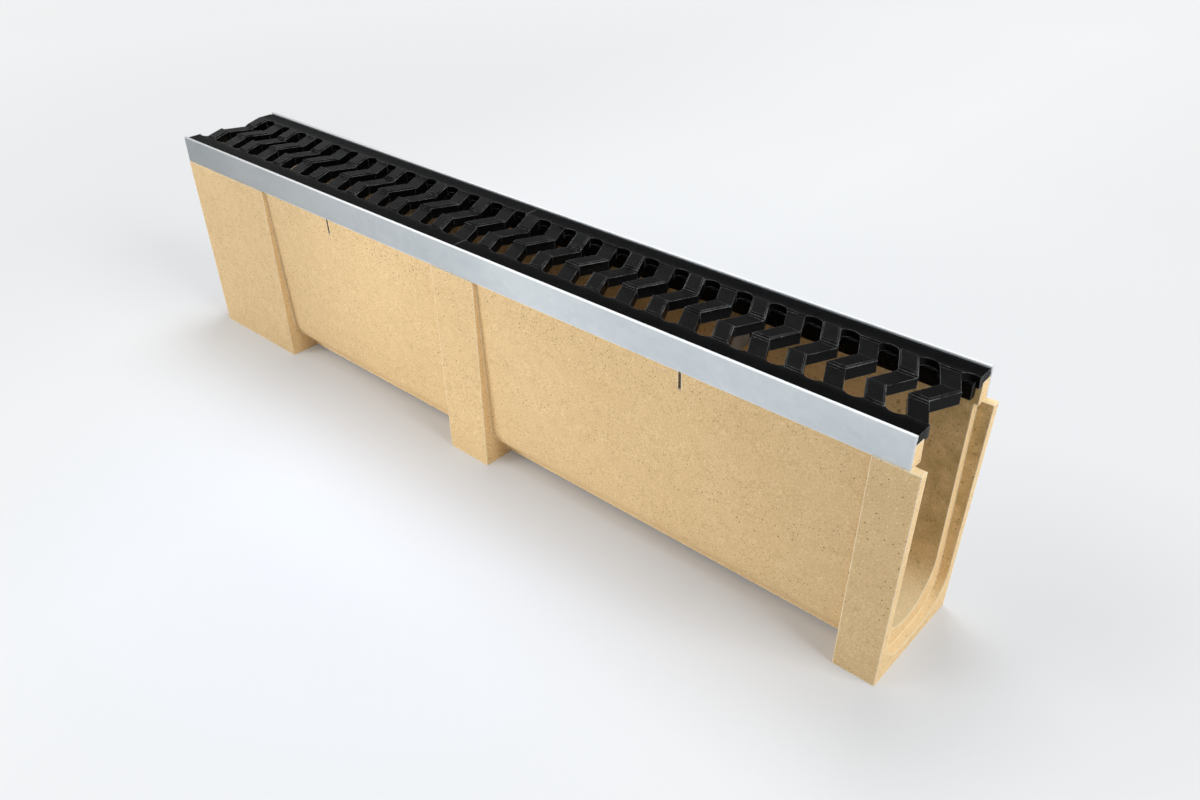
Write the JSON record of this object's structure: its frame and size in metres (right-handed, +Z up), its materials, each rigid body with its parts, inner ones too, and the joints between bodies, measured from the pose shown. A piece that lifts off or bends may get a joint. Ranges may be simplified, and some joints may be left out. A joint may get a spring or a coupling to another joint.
{
  "type": "channel drain",
  "caption": "Straight channel drain: cast U-shaped trough on feet with socket and spigot ends, steel edge rails, and zigzag-slotted cast grates.",
  "frame": {"origin": "middle of the whole length and width, on the ground under the feet", "axes": "+X along the channel from the spigot to the socket, +Y across it, +Z up"},
  "size_m": [1.021, 0.132, 0.257],
  "materials": {
    "polymer_concrete": "matte, finely speckled",
    "galvanised_steel": "hot-dip galvanised, satin",
    "black_cast_iron": "black coated, satin",
    "lock_bar_steel": "galvanised, dull"
  },
  "bodies": {
    "root": {"channel_body": "polymer_concrete", "edge_rail_near": "galvanised_steel", "edge_rail_far": "galvanised_steel", "grate_left": "black_cast_iron", "grate_right": "black_cast_iron", "lock_bar_left": "lock_bar_steel", "lock_bar_right": "lock_bar_steel"}
  },
  "joints": []
}
